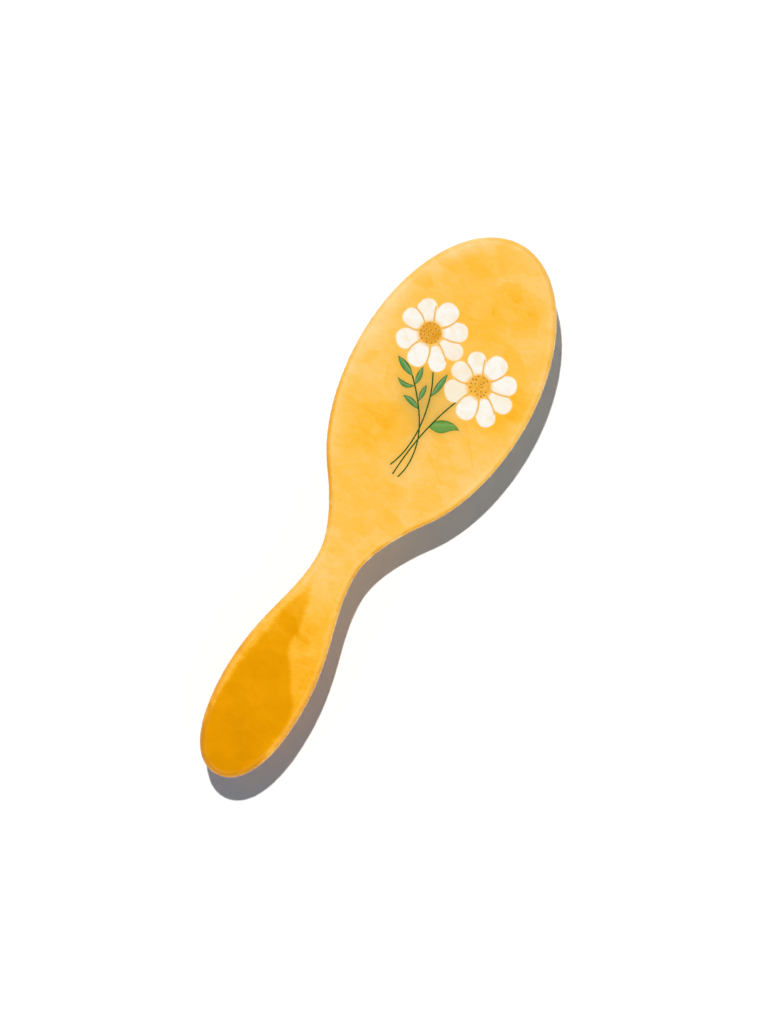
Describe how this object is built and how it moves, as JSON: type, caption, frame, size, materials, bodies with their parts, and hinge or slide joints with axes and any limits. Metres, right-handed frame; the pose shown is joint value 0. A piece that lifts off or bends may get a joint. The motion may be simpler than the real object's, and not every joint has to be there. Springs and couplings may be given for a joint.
{
  "type": "hairbrush",
  "caption": "Oval hairbrush with a waisted slab handle, a sprung cushion of ball-tipped pins, and enamelled daisies let into its back.",
  "frame": {"origin": "middle of the box round the brush, on the plane that its pin tips stand on", "axes": "+Z out of the decorated back, +Y from the handle towards the tip of the head, +X to the right with the back in view and the head up"},
  "size_m": [0.0696, 0.225, 0.032],
  "materials": {
    "amber_acetate": "polished marbled acetate, slightly translucent",
    "cushion_rubber": "smooth satin ivory rubber",
    "pin_nylon": "smooth moulded nylon",
    "petal_enamel": "pearly white enamel",
    "disc_enamel": "orange enamel",
    "seed_enamel": "brown enamel dots",
    "rib_enamel": "thin orange-brown lines",
    "leaf_enamel": "green enamel",
    "stem_enamel": "dark green enamel"
  },
  "bodies": {
    "brush": {"slab": "amber_acetate", "cushion": "cushion_rubber", "outer_pin_row": "pin_nylon", "leaf_broad": "leaf_enamel", "leaf_spray_1": "leaf_enamel", "leaf_spray_2": "leaf_enamel", "leaf_spray_3": "leaf_enamel", "leaf_spray_4": "leaf_enamel", "leaf_spray_5": "leaf_enamel", "leaf_upright": "leaf_enamel", "lower_daisy_disc": "disc_enamel", "lower_daisy_petal_1": "petal_enamel", "lower_daisy_petal_2": "petal_enamel", "lower_daisy_petal_3": "petal_enamel", "lower_daisy_petal_4": "petal_enamel", "lower_daisy_petal_5": "petal_enamel", "lower_daisy_petal_6": "petal_enamel", "lower_daisy_petal_7": "petal_enamel", "lower_daisy_petal_8": "petal_enamel", "lower_daisy_ribs": "rib_enamel", "lower_daisy_seeds": "seed_enamel", "stems": "stem_enamel", "upper_daisy_disc": "disc_enamel", "upper_daisy_petal_1": "petal_enamel", "upper_daisy_petal_2": "petal_enamel", "upper_daisy_petal_3": "petal_enamel", "upper_daisy_petal_4": "petal_enamel", "upper_daisy_petal_5": "petal_enamel", "upper_daisy_petal_6": "petal_enamel", "upper_daisy_petal_7": "petal_enamel", "upper_daisy_petal_8": "petal_enamel", "upper_daisy_ribs": "rib_enamel", "upper_daisy_seeds": "seed_enamel"},
    "second_pins": {"second_pin_row": "pin_nylon"},
    "third_pins": {"third_pin_row": "pin_nylon"},
    "inner_pins": {"inner_pin_row": "pin_nylon"}
  },
  "joints": [
    {"name": "second_pins_press", "type": "slide", "parent": "brush", "child": "second_pins", "axis": [0, 0, 1], "range_m": [0, 0.0014], "stiffness_N_per_m": 2500, "deforming": ["cushion"]},
    {"name": "third_pins_press", "type": "slide", "parent": "brush", "child": "third_pins", "axis": [0, 0, 1], "range_m": [0, 0.0021], "stiffness_N_per_m": 1500, "deforming": ["cushion"]},
    {"name": "inner_pins_press", "type": "slide", "parent": "brush", "child": "inner_pins", "axis": [0, 0, 1], "range_m": [0, 0.0028], "stiffness_N_per_m": 1000, "deforming": ["cushion"]}
  ],
  "couplings": [
    {"joint": "third_pins_press", "follows": "second_pins_press", "ratio": 1.5},
    {"joint": "inner_pins_press", "follows": "second_pins_press", "ratio": 2}
  ]
}
